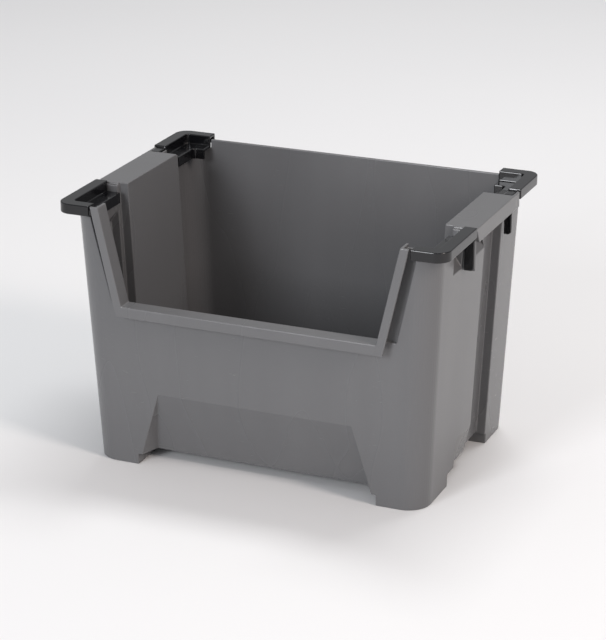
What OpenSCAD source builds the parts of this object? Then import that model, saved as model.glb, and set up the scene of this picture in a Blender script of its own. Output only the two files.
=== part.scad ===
// Stacking plastic crate with an open front and four lift-off corner clips.
// Millimetres, +Z up, front at -Y, origin at the centre of the footprint on the floor.

/* [Overall size] */
// Height from the floor to the top of the corner clips
overall_h = 290; // [250:1:340]
// Width of the tub outside at the rim
tub_w = 404; // [350:1:460]
// Depth from the front flange to the back of the rear clips
overall_d = 300; // [270:1:360]
// Width of the tub outside at the floor, for the draft of the sides
foot_w = 375; // [330:1:430]

/* [Shell] */
// Wall thickness
wall = 3; // [2.4:0.2:3.6]
// Corner radius of the tub at the rim
corner_r = 25; // [18:1:32]
// Height of the feet below the underside of the floor
foot_h = 12; // [9:1:15]

/* [Front opening] */
// Height of the sill top edge above the floor
sill_h = 185; // [150:1:205]
// Clear width of the opening at the sill
mouth_low_w = 284; // [240:1:300]
// Clear width of the opening at the rim
mouth_top_w = 332; // [300:1:340]
// Height of the sill band
band_h = 12; // [9:1:16]
// Face width of the two slanted flanges
flange_w = 9.5; // [8:0.5:12]

/* [Front foot recess] */
// Height of the crease of the sloping front panel
crease_h = 85; // [60:1:105]
// Width of that panel at the crease
crease_w = 220; // [180:1:240]

/* [Hand grips] */
// Distance of the grip from the front flange
grip_from = 92; // [84:1:100]
// Length of the grip
grip_len = 122; // [112:1:124]
// Height of the ledge under the fingers
grip_floor_h = 243; // [236:1:250]
// Depth of the lip hanging at the outer edge of the grip
lip_h = 17; // [14:1:20]
// How far the lip and the clips stand out from the tub
overhang = 13; // [11:0.5:15]
// Depth of the upright channel below each grip
channel_d = 10; // [6:0.5:11]

/* [Corner clips] */
// Length of the front clips along the side
clip_len = 91; // [84:1:98]
// Height of the raised fence that the next crate drops into
fence_h = 11; // [9:0.5:13]
// Play between a clip and the tub
play = 0.3; // [0.25:0.05:0.4]

/* [Hidden] */
$fn = 48;

grey = [0.50, 0.51, 0.52];
black = [0.09, 0.09, 0.10];

// heights
rim_h = overall_h - 4;
seat_h = overall_h - fence_h - wall;
ledge_h = overall_h - fence_h;
floor_top = foot_h + wall;
skin_foot_h = foot_h + 2;

// depth positions, measured from the front flange and then centred
y0 = -overall_d / 2;
front_top = y0 + 9;
front_low = y0 + 20;
rear_top = y0 + overall_d - 9;
rear_low = rear_top - 6;
grip_y0 = y0 + grip_from;
grip_y1 = grip_y0 + grip_len;
channel_y0 = grip_y1 - 54;
rib_y = grip_y0 + 34;
front_foot_y1 = y0 + 94;
rear_foot_y0 = grip_y1 + wall + play;
sill_back = y0 + 17;
backing_y1 = front_low - 1;
double_y0 = front_foot_y1 + 1;

// widths
foot_in = 136;
out_x = tub_w / 2 + overhang;
grip_in = 20;
lip_in_x = out_x - 1 - wall;
clip_in_x = mouth_top_w / 2 + flange_w + 1.5;
rear_clip_in_x = out_x - 43;
rear_clip_y0 = y0 + 231;
fence_w = 14;
clip_r = 15;
ledge_in = 30;
recess_y0 = y0 + 60;
recess_d = 9.5;
ramp = 1.5;
web_r = 4;

// half width of the outer side plane and depth of the front plane at a height
function side_x(z) = foot_w / 2 + (tub_w - foot_w) / 2 * z / rim_h;
function front_y(z) = front_low + (front_top - front_low) * z / rim_h;
function rear_y(z) = rear_low + (rear_top - rear_low) * z / rim_h;
function mouth_x(z) = mouth_low_w / 2
    + (mouth_top_w - mouth_low_w) / 2 * (z - sill_h) / (overall_h - sill_h);

// inner edge of the clips' webs, clear of the tub wall all the way up
web_x = side_x(rim_h) + play;

// ---------- helpers ----------

module both_sides() {
    children();
    mirror([1, 0, 0]) children();
}

module box(x0, x1, ya, yb, z0, z1) {
    translate([x0, ya, z0]) cube([x1 - x0, yb - ya, z1 - z0]);
}

// flat rounded rectangle, drawn from its four limits
module plan(hx, ya, yb, r) {
    union() {
        translate([-hx + r, ya]) square([2 * hx - 2 * r, yb - ya]);
        translate([-hx, ya + r]) square([2 * hx, yb - ya - 2 * r]);
        for (x = [-hx + r, hx - r], y = [ya + r, yb - r]) translate([x, y]) circle(r = r);
    }
}

// drafted block following the tub, set in by t on every side
module draft_block(t, z0, z1) {
    r = corner_r - t;
    hull() {
        translate([0, 0, z0]) linear_extrude(0.01)
            plan(side_x(z0) - t, front_y(z0) + t, rear_y(z0) - t, r);
        translate([0, 0, z1 - 0.01]) linear_extrude(0.01)
            plan(side_x(z1) - t, front_y(z1) + t, rear_y(z1) - t, r);
    }
}

// slab parallel to the right side wall, between two insets from its outer plane
module side_slab(inset_a, inset_b, ya, yb, z0, z1) {
    translate([0, yb, 0]) rotate([90, 0, 0]) linear_extrude(yb - ya)
        polygon([[side_x(z0) - inset_b, z0], [side_x(z0) - inset_a, z0],
                 [side_x(z1) - inset_a, z1], [side_x(z1) - inset_b, z1]]);
}

// outline of the opening grown by g, in the X-Z plane
module mouth_plan(g, z0, z1) {
    polygon([[-mouth_x(z0) - g, z0], [mouth_x(z0) + g, z0],
             [mouth_x(z1) + g, z1], [-mouth_x(z1) - g, z1]]);
}

module mouth_block(g, ya, yb, z0, z1) {
    translate([0, yb, 0]) rotate([90, 0, 0]) linear_extrude(yb - ya) mouth_plan(g, z0, z1);
}

// wedge that makes the sloping panel between the front feet
module front_wedge(g) {
    xa = crease_w / 2 + g;
    za = crease_h + 2 * g;
    ya = front_y(crease_h) - 0.5;
    xb = 143 + g;
    xc = 126 + g;
    yc = y0 + 47 + g;
    polyhedron(
        points = [[-xa, ya, za], [xa, ya, za], [-xb, y0, -3], [xb, y0, -3],
                  [-xc, yc, -3], [xc, yc, -3]],
        faces = [[0, 1, 3, 2], [1, 0, 4, 5], [2, 3, 5, 4], [0, 2, 4], [1, 5, 3]]);
}

// block above a ramp that rises inwards from the side wall, set in by t
module above_ramp(t, ya, yb) {
    x0 = tub_w / 2;
    z0 = grip_floor_h - 1.8 * t;
    translate([0, yb, 0]) rotate([90, 0, 0]) linear_extrude(yb - ya)
        polygon([[x0 - 30, z0 + 30 * ramp], [x0 + 20, z0 - 20 * ramp], [x0 + 20, 300],
                 [x0 - 30, 300]]);
}

// tapering recess beside the grip, its lining set in by t
module recess(t, yb) {
    x0 = side_x(grip_floor_h) - t;
    intersection() {
        linear_extrude(300)
            polygon([[x0 + 2.2, recess_y0], [x0 + 1.6 - recess_d, grip_y0 - wall - 0.5],
                     [x0 + 1.6 - recess_d, yb], [out_x, yb], [out_x, recess_y0]]);
        above_ramp(t, recess_y0, yb);
    }
}

// ---------- tub ----------

module tub_inside() {
    difference() {
        draft_block(wall, 0, overall_h + 5);
        // floor, with the four feet left hollow
        difference() {
            box(-foot_w, foot_w, y0, -y0, -1, floor_top);
            both_sides() {
                box(foot_in + wall, foot_w, y0, front_foot_y1 - wall, wall, floor_top + 1);
                box(foot_in + wall, foot_w, rear_foot_y0 + wall, -y0, wall, floor_top + 1);
            }
        }
        // wall round each grip, and the double wall behind it, clear of the foot of the next crate
        both_sides() {
            side_slab(-20, channel_d + wall, grip_y0 - wall, grip_y1 + wall, -1, 300);
            side_slab(-20, grip_in + wall, double_y0, grip_y1 + wall, -1, 300);
        }
        // lining of the recess under each front clip
        both_sides() recess(wall, grip_y0);
        // lining of the sloping front panel and backing of the flange channels
        front_wedge(wall + 0.5);
        difference() {
            mouth_block(flange_w + 10.5, y0, backing_y1, sill_h - 4, 300);
            mouth_block(0, y0 - 1, y0 + 40, sill_h, 301);
        }
    }
}

module side_voids() {
    // hollow of the double wall, open to the floor, split by one rib
    side_slab(wall, channel_d, grip_y0, double_y0 + wall, 50, grip_floor_h - wall);
    for (r = [[double_y0 + wall - 0.01, rib_y], [rib_y + wall, channel_y0 - wall]]) {
        side_slab(wall, grip_in, r[0], r[1], 50, grip_floor_h - wall);
        side_slab(wall + 8, grip_in, r[0], r[1], -1, 50.01);
        side_slab(channel_d + wall, grip_in, r[0], r[1], 49, overall_h - 8);
    }
    side_slab(channel_d + wall, grip_in, channel_y0 - wall - 0.01, grip_y1, -1, overall_h - 8);
    // upright channel and the hand pocket above it
    side_slab(-20, channel_d, channel_y0, grip_y1, -1, overall_h + 5);
    intersection() {
        side_slab(-20, channel_d, grip_y0, grip_y1, grip_floor_h - 20, overall_h + 5);
        above_ramp(0, grip_y0, grip_y1);
    }
    // recess under the front clip, deepening towards the grip
    recess(0, grip_y0 - wall);
    // clearance between the feet, and the shallow sloping panel beside the front foot
    side_slab(-20, grip_in + 0.01, front_foot_y1, grip_y1, -1, skin_foot_h);
    translate([0, channel_y0 + 0.01, 0]) rotate([90, 0, 0])
        linear_extrude(channel_y0 - front_foot_y1 - 18)
        polygon([[side_x(46), 46], [side_x(0) - 8, 0], [side_x(0) + 20, 0], [side_x(46) + 20, 46]]);
}

// seats for the clips: the wall is lower at the four corners
module clip_seats() {
    both_sides() {
        box(clip_in_x - 1.2, foot_w, y0 - 1, grip_y0 - wall, seat_h, 300);
        box(rear_clip_in_x - play, foot_w, rear_clip_y0 - play, -y0 + 1, seat_h, 300);
        box(out_x - fence_w, foot_w, grip_y1 - 0.01, rear_clip_y0, seat_h, 300);
    }
}

module grip_roof() {
    // roof over the fingers and the lip along its outer edge
    roof_z = overall_h - 5;
    top_x = side_x(rim_h) - wall;
    box(top_x - channel_d, out_x - 1, grip_y0, grip_y1, roof_z, roof_z + wall);
    box(top_x - grip_in, out_x - 1, double_y0, grip_y1, roof_z, roof_z + wall);
    // wall that closes the front of the grip, behind the web of the clip
    box(side_x(grip_floor_h) - wall, out_x - 2, grip_y0 - 0.5, grip_y0 - 0.5 + wall,
        grip_floor_h, roof_z + 1);
    // lip with its front end cut at a slant
    translate([out_x - 1, 0, 0]) rotate([90, 0, -90]) linear_extrude(wall)
        polygon([[-grip_y0, roof_z + wall], [-grip_y0 - 10, roof_z + wall - lip_h],
                 [1 - rear_clip_y0, roof_z + wall - lip_h], [1 - rear_clip_y0, roof_z + wall]]);
}

module flange() {
    // face plate of the slanted flanges and the sill band
    difference() {
        mouth_block(flange_w, y0, y0 + wall, sill_h - band_h, overall_h);
        mouth_block(0, y0 - 1, y0 + 30, sill_h, overall_h + 1);
    }
    // returns running back to the front wall
    difference() {
        mouth_block(wall, y0, backing_y1, sill_h - wall, overall_h);
        mouth_block(0, y0 - 1, y0 + 30, sill_h, overall_h + 1);
        box(-foot_w, foot_w, sill_back, 0, 0, sill_h + 0.01);
    }
}

module crate_tub() color(grey) union() {
    difference() {
        draft_block(0, 0, rim_h);
        tub_inside();
        // space under the floor between the feet
        box(-foot_in, foot_in, y0, -y0, -1, foot_h);
        box(-foot_w, foot_w, front_foot_y1, rear_foot_y0, -1, foot_h);
        front_wedge(0);
        // front opening, and the channel outside each slanted flange
        mouth_block(0, y0 - 1, y0 + 40, sill_h, 300);
        difference() {
            mouth_block(flange_w + 7.5, y0 - 1, backing_y1 - wall, sill_h, 300);
            mouth_block(wall - 0.1, y0 - 2, y0 + 40, sill_h - 1, 301);
        }
        both_sides() side_voids();
        clip_seats();
    }
    both_sides() grip_roof();
    flange();
}

// ---------- corner clips ----------

// L-shaped strip between two rounded outlines, kept to one corner
module corner_strip(outer, inner, xa, ya, yb) {
    intersection() {
        difference() {
            plan(out_x - outer, y0 + outer, -y0 - outer, max(clip_r - outer, 4));
            plan(out_x - inner, y0 + inner, -y0 - inner, max(clip_r - inner, 4));
        }
        translate([xa, ya]) square([out_x + 1 - xa, yb - ya]);
    }
}

module strip(outer, inner, xa, ya, yb, z0, z1) {
    translate([0, 0, z0]) linear_extrude(z1 - z0) corner_strip(outer, inner, xa, ya, yb);
}

// clip at the right: ya to yb along the side, ia to ib where it reaches inside the wall
module clip(xa, ya, yb, ia, ib) {
    // outer skirt and top of the fence, hollow from below
    strip(0, wall, xa, ya, yb, ledge_h, overall_h);
    strip(0, fence_w, xa, ya, yb, overall_h - wall, overall_h);
    // inner wall of the fence
    strip(fence_w - wall, fence_w, xa, ia, ib, seat_h, overall_h);
    // ledge the foot of the next crate stands on, and the skirt under its inner edge
    strip(fence_w - wall, ledge_in, xa, ia, ib, seat_h, ledge_h);
    strip(ledge_in - wall, ledge_in, xa, ia, ib, ledge_h - 12, ledge_h);
}

// upright web across the depth, its outer lower corner rounded
module web(xb, ya, z0, z1) {
    translate([0, ya + wall, 0]) rotate([90, 0, 0]) linear_extrude(wall) union() {
        translate([web_x, z0 + web_r]) square([xb - web_x, z1 - z0 - web_r]);
        translate([web_x, z0]) square([xb - web_x - web_r, web_r + 0.1]);
        translate([xb - web_r, z0 + web_r]) circle(r = web_r);
    }
}

module clip_front_right() color(black) {
    clip(clip_in_x, y0, y0 + clip_len, y0, grip_y0 - wall - play);
    // closed end of the fence, carried down as the web at the front of the hand grip
    box(web_x, out_x - 1, y0 + clip_len - wall, y0 + clip_len, seat_h, overall_h - 1);
    web(out_x - 2, y0 + clip_len - wall, grip_floor_h + 1, seat_h + 1);
}

module clip_rear_right() color(black) {
    clip(rear_clip_in_x, rear_clip_y0, -y0, rear_clip_y0, -y0);
    // arm that runs forward behind the lip, with the web that closes the back of the hand grip
    box(out_x - fence_w + play, lip_in_x - play, grip_y1 + play, rear_clip_y0 + wall,
        seat_h, overall_h - 2);
    web(lip_in_x - play, grip_y1 + play, grip_floor_h + 1, seat_h + 1);
}

module clip_front_left() color(black) mirror([1, 0, 0]) clip_front_right();
module clip_rear_left() color(black) mirror([1, 0, 0]) clip_rear_right();

crate_tub();
clip_front_left();
clip_front_right();
clip_rear_left();
clip_rear_right();
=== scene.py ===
import math

import bpy
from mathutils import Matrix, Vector

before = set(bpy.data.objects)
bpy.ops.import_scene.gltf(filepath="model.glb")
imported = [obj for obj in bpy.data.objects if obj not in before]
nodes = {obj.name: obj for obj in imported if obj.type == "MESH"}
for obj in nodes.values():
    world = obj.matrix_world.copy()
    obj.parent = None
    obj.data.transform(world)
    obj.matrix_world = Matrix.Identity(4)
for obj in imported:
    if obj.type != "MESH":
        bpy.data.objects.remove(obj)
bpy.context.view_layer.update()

EDGE_RADIUS = 0.0010
RUBBED_RADIUS = 0.0016
FLOOR_REACH = 20
LIGHTS_AIM = Vector((0, 0, 0.15))
CAMERA_AIM = Vector((0, 0, 0.14))
CAMERA_PLACE = Vector((0.945, -2.232, 1.042))


# ---------------------------------------------------------------- materials

class Graph:
    """Adds shader nodes to one material; a socket given as an input is linked, a number is set."""

    def __init__(self, name):
        self.material = bpy.data.materials.new(name)
        self.material.use_nodes = True
        self.tree = self.material.node_tree
        self.tree.nodes.clear()

    def add(self, kind, inputs=(), **settings):
        node = self.tree.nodes.new(kind)
        for key, value in settings.items():
            setattr(node, key, value)
        for socket, value in dict(inputs).items():
            if isinstance(value, bpy.types.NodeSocket):
                self.tree.links.new(value, node.inputs[socket])
            else:
                node.inputs[socket].default_value = value
        return node

    def noise(self, stretch, scale, detail=3.0, rough=0.5):
        """Noise over the part's own coordinates in metres, drawn out along the axes with a low stretch."""
        place = self.add("ShaderNodeTexCoord").outputs["Object"]
        mapped = self.add("ShaderNodeMapping", {"Vector": place, "Scale": stretch}).outputs["Vector"]
        return self.add("ShaderNodeTexNoise", {"Vector": mapped, "Scale": scale, "Detail": detail,
                                               "Roughness": rough}).outputs["Fac"]

    def span(self, value, low, high, to_low, to_high):
        """Maps low..high onto to_low..to_high and holds it there at both ends."""
        return self.add("ShaderNodeMapRange", {"Value": value, "From Min": low, "From Max": high,
                                               "To Min": to_low, "To Max": to_high}).outputs["Result"]

    def math(self, operation, a, b):
        return self.add("ShaderNodeMath", {0: a, 1: b}, operation=operation).outputs[0]

    def mix(self, fac, a, b):
        """Blends two colours; 6, 7 and output 2 are the mix node's colour sockets."""
        return self.add("ShaderNodeMix", {0: fac, 6: a, 7: b}, data_type="RGBA").outputs[2]

    def bump(self, height, strength, distance, under=None):
        """Normal raised by a height, laid over the normal under it if one is given."""
        inputs = {"Height": height, "Strength": strength, "Distance": distance}
        if under is not None:
            inputs["Normal"] = under
        return self.add("ShaderNodeBump", inputs).outputs["Normal"]

    def finish(self, inputs):
        shader = self.add("ShaderNodeBsdfPrincipled", inputs)
        out = self.add("ShaderNodeOutputMaterial")
        self.tree.links.new(shader.outputs["BSDF"], out.inputs["Surface"])
        return self.material


def moulded_plastic(name, low, high, worn, rough, grain, wave):
    """Injection-moulded plastic: cloudy tone, upright flow marks, fine grain, rubbed edges, scuffs, dust."""
    g = Graph(name)
    # tone: soft clouds, then straight flow marks that run up the walls
    cloud = g.span(g.noise((1, 1, 0.35), 5.0, 1.0), 0.3, 0.7, 0.0, 1.0)
    tone = g.mix(cloud, (*low, 1), (*high, 1))
    flow = g.span(g.noise((1, 1, 0.004), 30.0, 1.0, 0.5), 0.30, 0.70, 0.0, 0.7)
    tone = g.mix(flow, tone, (*low, 1))
    # rubbed edges, found where the rounded normal turns away from the face's own
    rounded = g.add("ShaderNodeBevel", {"Radius": RUBBED_RADIUS}, samples=4).outputs["Normal"]
    straight = g.add("ShaderNodeNewGeometry").outputs["Normal"]
    turn = g.add("ShaderNodeVectorMath", {0: rounded, 1: straight}, operation="DOT_PRODUCT")
    edge = g.span(turn.outputs["Value"], 0.98, 0.80, 0.0, 1.0)
    patchy = g.span(g.noise((1, 1, 1), 70.0, 5.0, 0.7), 0.45, 0.70, 0.0, 0.45)
    tone = g.mix(g.math("MULTIPLY", edge, patchy), tone, (*worn, 1))
    # level scuffs and specks of dust
    scuff = g.span(g.noise((0.6, 0.6, 6), 120.0, 3.0, 0.6), 0.68, 0.78, 0.0, 0.06)
    tone = g.mix(scuff, tone, (*worn, 1))
    dust = g.span(g.noise((1, 1, 1), 420.0, 3.0, 0.6), 0.62, 0.80, 0.0, 0.10)
    tone = g.mix(dust, tone, (*worn, 1))
    # gloss that varies over the face and is dulled by scuffs
    gloss = g.span(g.noise((1, 1, 0.2), 14.0, 1.0, 0.4), 0.3, 0.7, *rough)
    gloss = g.math("ADD", gloss, g.math("MULTIPLY", scuff, 0.8))
    # relief: mould grain, flow marks and the slight wave of a thin wall
    normal = g.bump(g.noise((1, 1, 1), 1500.0, 2.0), grain, 0.0001)
    normal = g.bump(g.noise((1, 1, 0.004), 90.0, 1.0), 0.10, 0.0002, normal)
    normal = g.bump(g.noise((1, 1, 0.5), 9.0, 1.0), wave, 0.0020, normal)
    return g.finish({"Base Color": tone, "Roughness": gloss, "Normal": normal, "IOR": 1.5})


grey = moulded_plastic("grey_plastic", low=(0.122, 0.122, 0.126), high=(0.133, 0.133, 0.137),
                       worn=(0.26, 0.26, 0.26), rough=(0.24, 0.32), grain=0.25, wave=0.15)
black = moulded_plastic("black_plastic", low=(0.004, 0.004, 0.005), high=(0.007, 0.007, 0.008),
                        worn=(0.05, 0.05, 0.05), rough=(0.09, 0.16), grain=0.10, wave=0.20)


# ---------------------------------------------------------------- moulded edges on the CAD nodes

def soften(obj, material):
    """Gives a CAD node its material and rounds its moulded edges with modifiers alone."""
    obj.data.materials.clear()
    obj.data.materials.append(material)
    weld = obj.modifiers.new("weld", "WELD")
    weld.merge_threshold = 0.00012
    flats = obj.modifiers.new("flats", "DECIMATE")
    flats.decimate_type = "DISSOLVE"
    flats.angle_limit = math.radians(1.0)
    bevel = obj.modifiers.new("edges", "BEVEL")
    bevel.width = EDGE_RADIUS
    bevel.segments = 3
    bevel.limit_method = "ANGLE"
    bevel.angle_limit = math.radians(28)
    bevel.miter_outer = "MITER_ARC"
    bevel.use_clamp_overlap = False
    shade = obj.modifiers.new("normals", "WEIGHTED_NORMAL")
    shade.keep_sharp = True


for name, obj in nodes.items():
    soften(obj, grey if name == "crate_tub" else black)


# ---------------------------------------------------------------- stage

def aim(obj, target):
    """Turns a lamp or camera to look at a point."""
    obj.rotation_euler = (target - obj.location).to_track_quat("-Z", "Y").to_euler()


def studio_floor():
    """Plain pale floor that reaches far past the view."""
    g = Graph("studio_floor")
    tone = g.mix(g.noise((1, 1, 1), 1.3, 3.0), (0.80, 0.80, 0.81, 1), (0.83, 0.83, 0.83, 1))
    mesh = bpy.data.meshes.new("floor")
    r = FLOOR_REACH
    mesh.from_pydata([(-r, -r, 0), (r, -r, 0), (r, r, 0), (-r, r, 0)], [], [(0, 1, 2, 3)])
    mesh.materials.append(g.finish({"Base Color": tone, "Roughness": 0.7}))
    floor = bpy.data.objects.new("floor", mesh)
    bpy.context.collection.objects.link(floor)


def softbox(name, azimuth, elevation, distance, width, height, power, colour):
    """Area light round the crate; azimuth 0 is in front of it and grows towards its right side."""
    data = bpy.data.lights.new(name, "AREA")
    data.shape = "RECTANGLE"
    data.size, data.size_y = width, height
    data.energy = power
    data.color = colour
    lamp = bpy.data.objects.new(name, data)
    bpy.context.collection.objects.link(lamp)
    a, e = math.radians(azimuth), math.radians(elevation)
    towards = Vector((math.sin(a) * math.cos(e), -math.cos(a) * math.cos(e), math.sin(e)))
    lamp.location = LIGHTS_AIM + distance * towards
    aim(lamp, LIGHTS_AIM)


def studio_world():
    """Even, slightly cool light from all round."""
    world = bpy.data.worlds.new("studio")
    bpy.context.scene.world = world
    world.use_nodes = True
    background = world.node_tree.nodes["Background"]
    background.inputs["Color"].default_value = (0.97, 0.98, 1.0, 1)
    background.inputs["Strength"].default_value = 0.42


def studio_camera():
    """Long lens in front of the crate, to its right and above it, as in the photograph."""
    lens = bpy.data.cameras.new("camera")
    lens.sensor_width = 36
    lens.lens = 135
    camera = bpy.data.objects.new("camera", lens)
    bpy.context.collection.objects.link(camera)
    camera.location = CAMERA_PLACE
    aim(camera, CAMERA_AIM)
    bpy.context.scene.camera = camera
    bpy.context.scene.view_settings.view_transform = "Standard"


studio_floor()
studio_world()
softbox("front_box", -14, 20, 4.6, 1.2, 1.8, 106, (0.95, 0.965, 1.0))
softbox("side_box", 72, 34, 4.2, 0.8, 1.8, 75, (1.0, 0.885, 0.825))
softbox("top_box", 170, 66, 3.6, 2.2, 1.0, 60, (1.0, 1.0, 1.0))
studio_camera()
